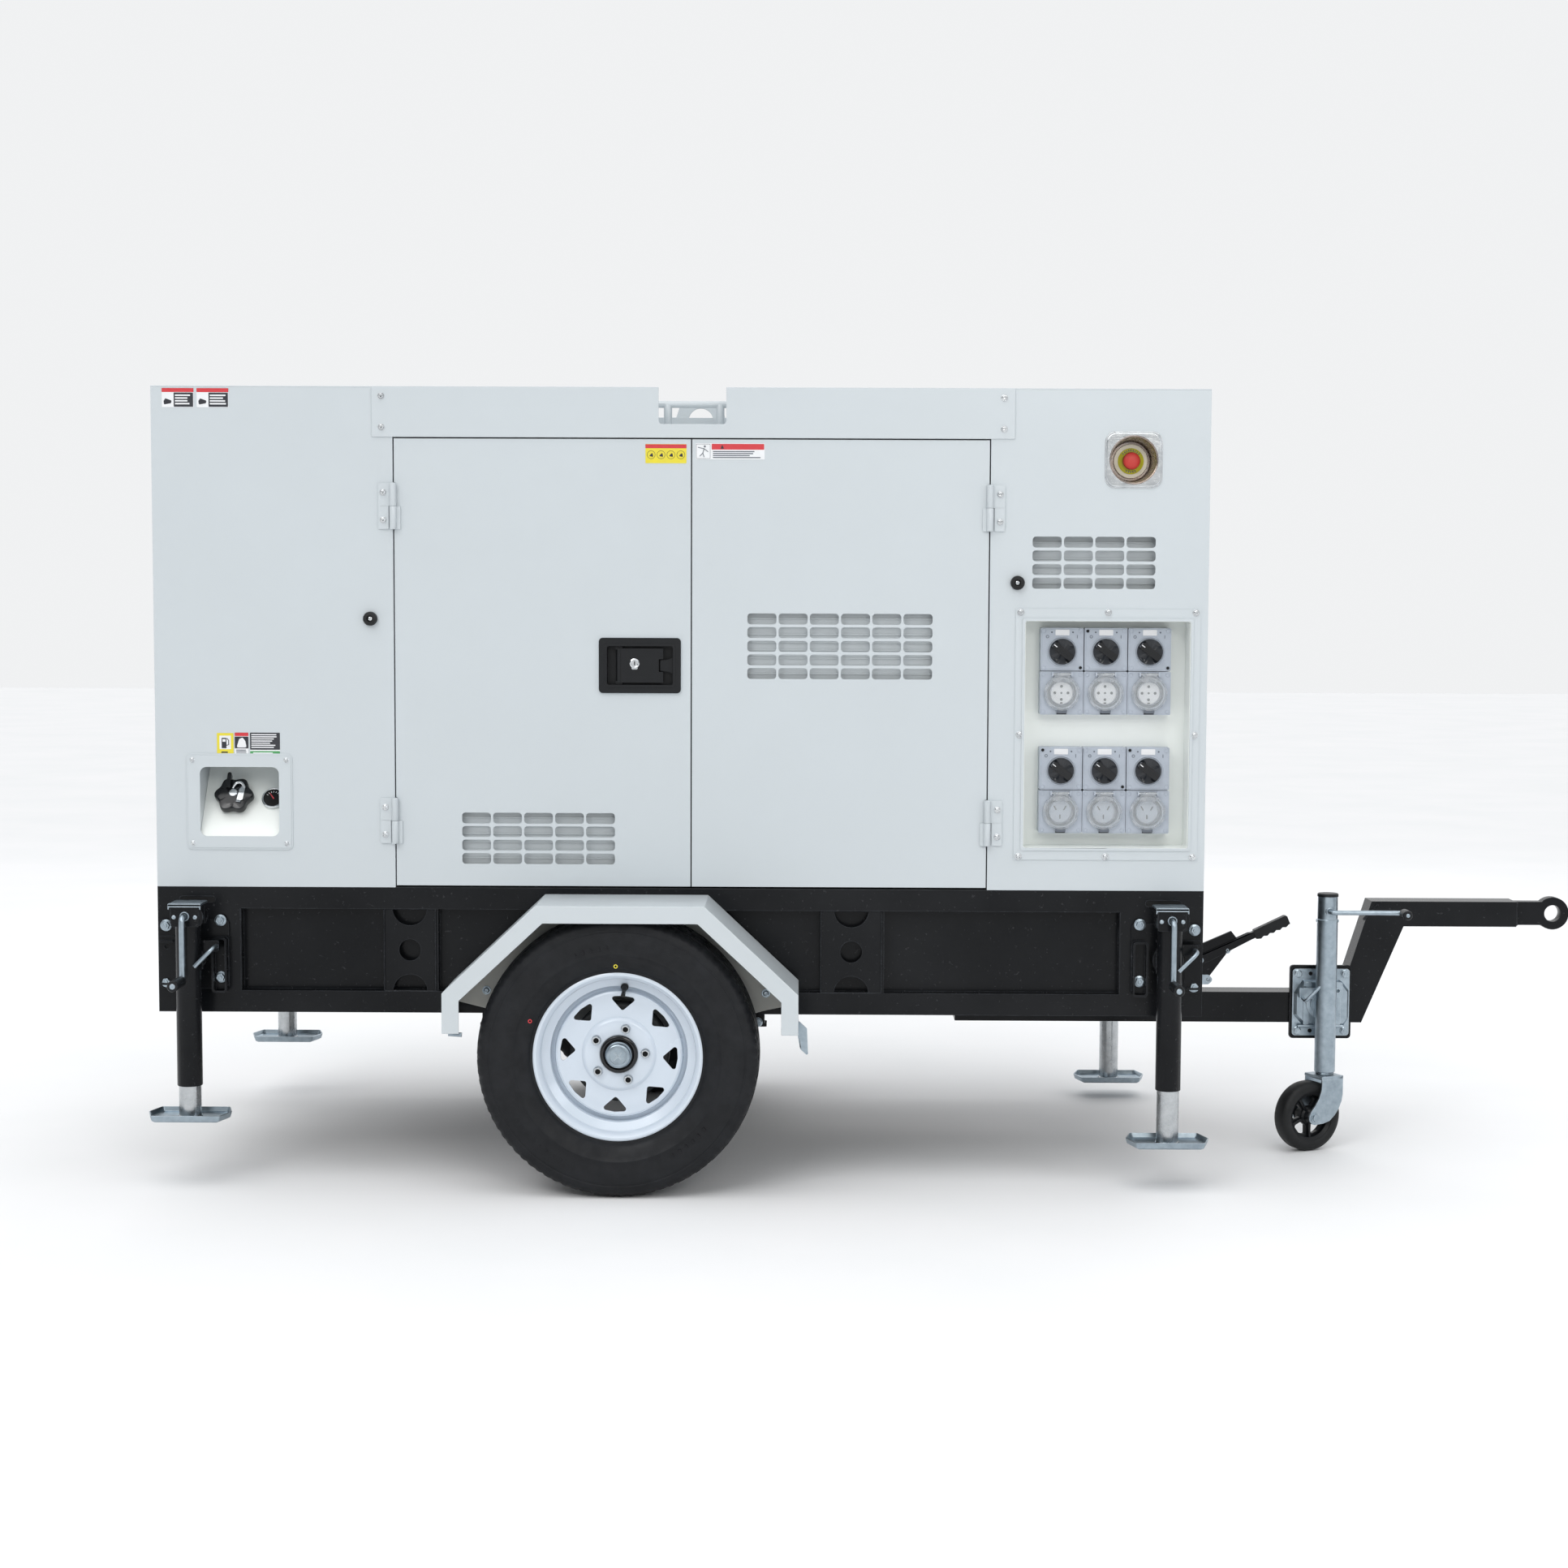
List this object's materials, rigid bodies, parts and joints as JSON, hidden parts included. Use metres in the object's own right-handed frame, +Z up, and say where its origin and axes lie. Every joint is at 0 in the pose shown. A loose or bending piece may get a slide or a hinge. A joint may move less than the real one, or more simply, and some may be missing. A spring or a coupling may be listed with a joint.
{
  "type": "towable diesel generator",
  "caption": "Towable diesel generator: white sheet-steel canopy on a black single-axle trailer frame, with corner jacks, a jockey wheel, a tow eye and switched outlets.",
  "frame": {"origin": "on the ground under the middle of the trailer's bounding box", "axes": "+X forward to the tow eye, +Y to the far side away from the outlets, +Z up"},
  "size_m": [3.389, 1.41, 1.815],
  "materials": {
    "black_paint": "gloss",
    "white_paint": "semi-gloss",
    "zinc": "zinc plated",
    "chrome": "polished",
    "tyre": "matte",
    "black_plastic": "gloss",
    "grey_plastic": "satin",
    "clear_plastic": "clear",
    "red_plastic": "gloss",
    "engine_paint": "painted",
    "alternator_paint": "painted",
    "radiator_black": "matte",
    "exhaust_steel": "matte",
    "tank_plastic": "matte"
  },
  "bodies": {
    "trailer": {"chassis_frame": "black_paint", "fuel_tank": "tank_plastic", "axle_and_springs": "black_paint", "mudguards": "white_paint", "drawbar": "black_paint", "jack_brackets": "zinc", "rear_canopy": "white_paint", "front_canopy": "white_paint", "roof_panel": "white_paint", "lifting_frame": "zinc", "hinges_and_screws": "zinc", "estop_housing": "chrome", "outlet_modules": "grey_plastic", "engine": "engine_paint", "alternator": "alternator_paint", "radiator": "radiator_black", "muffler": "exhaust_steel"},
    "wheel_near": {"wheel_near_rim": "white_paint", "wheel_near_tyre": "tyre"},
    "wheel_far": {"wheel_far_rim": "white_paint", "wheel_far_tyre": "tyre"},
    "jack_rear_near_tube": {"jack_rear_near_tube": "black_paint"},
    "jack_rear_near_leg": {"jack_rear_near_leg": "zinc"},
    "jack_rear_near_crank": {"jack_rear_near_crank": "zinc"},
    "jack_rear_far_tube": {"jack_rear_far_tube": "black_paint"},
    "jack_rear_far_leg": {"jack_rear_far_leg": "zinc"},
    "jack_rear_far_crank": {"jack_rear_far_crank": "zinc"},
    "jack_front_near_tube": {"jack_front_near_tube": "black_paint"},
    "jack_front_near_leg": {"jack_front_near_leg": "zinc"},
    "jack_front_near_crank": {"jack_front_near_crank": "zinc"},
    "jack_front_far_tube": {"jack_front_far_tube": "black_paint"},
    "jack_front_far_leg": {"jack_front_far_leg": "zinc"},
    "jack_front_far_crank": {"jack_front_far_crank": "zinc"},
    "jockey_tube": {"jockey_tube": "zinc"},
    "jockey_leg": {"jockey_leg": "zinc"},
    "jockey_fork": {"jockey_fork": "zinc"},
    "jockey_wheel": {"jockey_wheel": "black_plastic"},
    "jockey_crank": {"jockey_crank": "zinc"},
    "handbrake_lever": {"handbrake_lever": "black_paint"},
    "door_rear_near": {"door_rear_near": "white_paint"},
    "door_rear_far": {"door_rear_far": "white_paint"},
    "door_front_near": {"door_front_near": "white_paint"},
    "door_front_far": {"door_front_far": "white_paint"},
    "latch_near": {"latch_near": "black_plastic"},
    "latch_far": {"latch_far": "black_plastic"},
    "estop_button": {"estop_button": "red_plastic"},
    "fuel_cap": {"fuel_cap": "black_plastic"},
    "cooling_fan": {"cooling_fan": "black_plastic"},
    "switch_knob_1": {"switch_knob_1": "black_plastic"},
    "socket_flap_1": {"socket_flap_1": "clear_plastic"},
    "switch_knob_2": {"switch_knob_2": "black_plastic"},
    "socket_flap_2": {"socket_flap_2": "clear_plastic"},
    "switch_knob_3": {"switch_knob_3": "black_plastic"},
    "socket_flap_3": {"socket_flap_3": "clear_plastic"},
    "switch_knob_4": {"switch_knob_4": "black_plastic"},
    "socket_flap_4": {"socket_flap_4": "clear_plastic"},
    "switch_knob_5": {"switch_knob_5": "black_plastic"},
    "socket_flap_5": {"socket_flap_5": "clear_plastic"},
    "switch_knob_6": {"switch_knob_6": "black_plastic"},
    "socket_flap_6": {"socket_flap_6": "clear_plastic"}
  },
  "joints": [
    {"name": "wheel_near_turn", "type": "hinge", "parent": "trailer", "child": "wheel_near", "pos_m": [-0.6145, -0.5935, 0.317], "axis": [0, 1, 0], "continuous": true},
    {"name": "wheel_far_turn", "type": "hinge", "parent": "trailer", "child": "wheel_far", "pos_m": [-0.6145, 0.5935, 0.317], "axis": [0, 1, 0], "continuous": true},
    {"name": "jack_rear_near_swivel", "type": "hinge", "parent": "trailer", "child": "jack_rear_near_tube", "pos_m": [-1.5995, -0.545, 0.52], "axis": [0, -1, 0], "range_deg": [0, 90]},
    {"name": "jack_rear_near_crank_turn", "type": "hinge", "parent": "jack_rear_near_tube", "child": "jack_rear_near_crank", "pos_m": [-1.5995, -0.545, 0.618], "axis": [0, 1, 0], "range_deg": [-4104, 10800]},
    {"name": "jack_rear_near_leg_slide", "type": "slide", "parent": "jack_rear_near_tube", "child": "jack_rear_near_leg", "axis": [0, 0, -1], "range_m": [-0.057, 0.15]},
    {"name": "jack_rear_far_swivel", "type": "hinge", "parent": "trailer", "child": "jack_rear_far_tube", "pos_m": [-1.5995, 0.545, 0.52], "axis": [0, -1, 0], "range_deg": [0, 90]},
    {"name": "jack_rear_far_crank_turn", "type": "hinge", "parent": "jack_rear_far_tube", "child": "jack_rear_far_crank", "pos_m": [-1.5995, 0.545, 0.618], "axis": [0, 1, 0], "range_deg": [-4824, 10080]},
    {"name": "jack_rear_far_leg_slide", "type": "slide", "parent": "jack_rear_far_tube", "child": "jack_rear_far_leg", "axis": [0, 0, -1], "range_m": [-0.067, 0.14]},
    {"name": "jack_front_near_swivel", "type": "hinge", "parent": "trailer", "child": "jack_front_near_tube", "pos_m": [0.6305, -0.545, 0.52], "axis": [0, 1, 0], "range_deg": [0, 90]},
    {"name": "jack_front_near_crank_turn", "type": "hinge", "parent": "jack_front_near_tube", "child": "jack_front_near_crank", "pos_m": [0.6305, -0.545, 0.618], "axis": [0, 1, 0], "range_deg": [-7704, 7200]},
    {"name": "jack_front_near_leg_slide", "type": "slide", "parent": "jack_front_near_tube", "child": "jack_front_near_leg", "axis": [0, 0, -1], "range_m": [-0.107, 0.1]},
    {"name": "jack_front_far_swivel", "type": "hinge", "parent": "trailer", "child": "jack_front_far_tube", "pos_m": [0.6305, 0.545, 0.52], "axis": [0, 1, 0], "range_deg": [0, 90]},
    {"name": "jack_front_far_crank_turn", "type": "hinge", "parent": "jack_front_far_tube", "child": "jack_front_far_crank", "pos_m": [0.6305, 0.545, 0.618], "axis": [0, 1, 0], "range_deg": [-12024, 2880]},
    {"name": "jack_front_far_leg_slide", "type": "slide", "parent": "jack_front_far_tube", "child": "jack_front_far_leg", "axis": [0, 0, -1], "range_m": [-0.167, 0.04]},
    {"name": "jockey_swivel", "type": "hinge", "parent": "trailer", "child": "jockey_tube", "pos_m": [1.0775, -0.1125, 0.351], "axis": [0, -1, 0], "range_deg": [0, 90]},
    {"name": "jockey_crank_turn", "type": "hinge", "parent": "jockey_tube", "child": "jockey_crank", "pos_m": [1.0775, -0.1125, 0.586], "axis": [0, 1, 0], "range_deg": [0, 14400]},
    {"name": "jockey_leg_slide", "type": "slide", "parent": "jockey_tube", "child": "jockey_leg", "axis": [0, 0, -1], "range_m": [0, 0.2]},
    {"name": "jockey_castor", "type": "hinge", "parent": "jockey_leg", "child": "jockey_fork", "pos_m": [1.0775, -0.1125, 0.184], "axis": [0, 0, 1], "continuous": true},
    {"name": "jockey_wheel_turn", "type": "hinge", "parent": "jockey_fork", "child": "jockey_wheel", "pos_m": [1.03218, -0.13363, 0.085], "axis": [-0.4226, 0.9063, 0], "continuous": true},
    {"name": "handbrake_pull", "type": "hinge", "parent": "trailer", "child": "handbrake_lever", "pos_m": [0.7855, 0, 0.447], "axis": [0, -1, 0], "range_deg": [0, 50]},
    {"name": "door_rear_near_hinge", "type": "hinge", "parent": "trailer", "child": "door_rear_near", "pos_m": [-1.1355, -0.488, 1.245], "axis": [0, 0, -1], "range_deg": [0, 120]},
    {"name": "door_rear_far_hinge", "type": "hinge", "parent": "trailer", "child": "door_rear_far", "pos_m": [-1.1355, 0.488, 1.245], "axis": [0, 0, 1], "range_deg": [0, 120]},
    {"name": "door_front_near_hinge", "type": "hinge", "parent": "trailer", "child": "door_front_near", "pos_m": [0.2175, -0.488, 1.245], "axis": [0, 0, 1], "range_deg": [0, 120]},
    {"name": "door_front_far_hinge", "type": "hinge", "parent": "trailer", "child": "door_front_far", "pos_m": [0.2175, 0.488, 1.245], "axis": [0, 0, -1], "range_deg": [0, 120]},
    {"name": "latch_near_pull", "type": "hinge", "parent": "door_rear_near", "child": "latch_near", "pos_m": [-0.624, -0.471, 1.186], "axis": [0, 0, -1], "range_deg": [0, 30]},
    {"name": "latch_far_pull", "type": "hinge", "parent": "door_rear_far", "child": "latch_far", "pos_m": [-0.624, 0.471, 1.186], "axis": [0, 0, 1], "range_deg": [0, 30]},
    {"name": "estop_press", "type": "slide", "parent": "trailer", "child": "estop_button", "axis": [0, 1, 0], "range_m": [0, 0.006]},
    {"name": "fuel_cap_turn", "type": "hinge", "parent": "trailer", "child": "fuel_cap", "pos_m": [-1.5145, -0.424, 0.871], "axis": [0, -0.8242, 0.5663], "range_deg": [0, 90]},
    {"name": "fan_turn", "type": "hinge", "parent": "trailer", "child": "cooling_fan", "pos_m": [-1.3845, 0, 1.08], "axis": [1, 0, 0], "continuous": true},
    {"name": "switch_1_turn", "type": "hinge", "parent": "trailer", "child": "switch_knob_1", "pos_m": [0.3885, -0.443, 1.221], "axis": [0, 1, 0], "range_deg": [0, 90]},
    {"name": "flap_1_lift", "type": "hinge", "parent": "trailer", "child": "socket_flap_1", "pos_m": [0.3885, -0.451, 1.169], "axis": [-1, 0, 0], "range_deg": [0, 105]},
    {"name": "switch_2_turn", "type": "hinge", "parent": "trailer", "child": "switch_knob_2", "pos_m": [0.4885, -0.443, 1.221], "axis": [0, 1, 0], "range_deg": [0, 90]},
    {"name": "flap_2_lift", "type": "hinge", "parent": "trailer", "child": "socket_flap_2", "pos_m": [0.4885, -0.451, 1.169], "axis": [-1, 0, 0], "range_deg": [0, 105]},
    {"name": "switch_3_turn", "type": "hinge", "parent": "trailer", "child": "switch_knob_3", "pos_m": [0.5885, -0.443, 1.221], "axis": [0, 1, 0], "range_deg": [0, 90]},
    {"name": "flap_3_lift", "type": "hinge", "parent": "trailer", "child": "socket_flap_3", "pos_m": [0.5885, -0.451, 1.169], "axis": [-1, 0, 0], "range_deg": [0, 105]},
    {"name": "switch_4_turn", "type": "hinge", "parent": "trailer", "child": "switch_knob_4", "pos_m": [0.3885, -0.443, 0.948], "axis": [0, 1, 0], "range_deg": [0, 90]},
    {"name": "flap_4_lift", "type": "hinge", "parent": "trailer", "child": "socket_flap_4", "pos_m": [0.3885, -0.451, 0.896], "axis": [-1, 0, 0], "range_deg": [0, 105]},
    {"name": "switch_5_turn", "type": "hinge", "parent": "trailer", "child": "switch_knob_5", "pos_m": [0.4885, -0.443, 0.948], "axis": [0, 1, 0], "range_deg": [0, 90]},
    {"name": "flap_5_lift", "type": "hinge", "parent": "trailer", "child": "socket_flap_5", "pos_m": [0.4885, -0.451, 0.896], "axis": [-1, 0, 0], "range_deg": [0, 105]},
    {"name": "switch_6_turn", "type": "hinge", "parent": "trailer", "child": "switch_knob_6", "pos_m": [0.5885, -0.443, 0.948], "axis": [0, 1, 0], "range_deg": [0, 90]},
    {"name": "flap_6_lift", "type": "hinge", "parent": "trailer", "child": "socket_flap_6", "pos_m": [0.5885, -0.451, 0.896], "axis": [-1, 0, 0], "range_deg": [0, 105]}
  ],
  "couplings": [
    {"joint": "jack_rear_near_leg_slide", "follows": "jack_rear_near_crank_turn", "m_per_rad": 0.00079577},
    {"joint": "jack_rear_far_leg_slide", "follows": "jack_rear_far_crank_turn", "m_per_rad": 0.00079577},
    {"joint": "jack_front_near_leg_slide", "follows": "jack_front_near_crank_turn", "m_per_rad": 0.00079577},
    {"joint": "jack_front_far_leg_slide", "follows": "jack_front_far_crank_turn", "m_per_rad": 0.00079577},
    {"joint": "jockey_leg_slide", "follows": "jockey_crank_turn", "m_per_rad": 0.00079577}
  ]
}
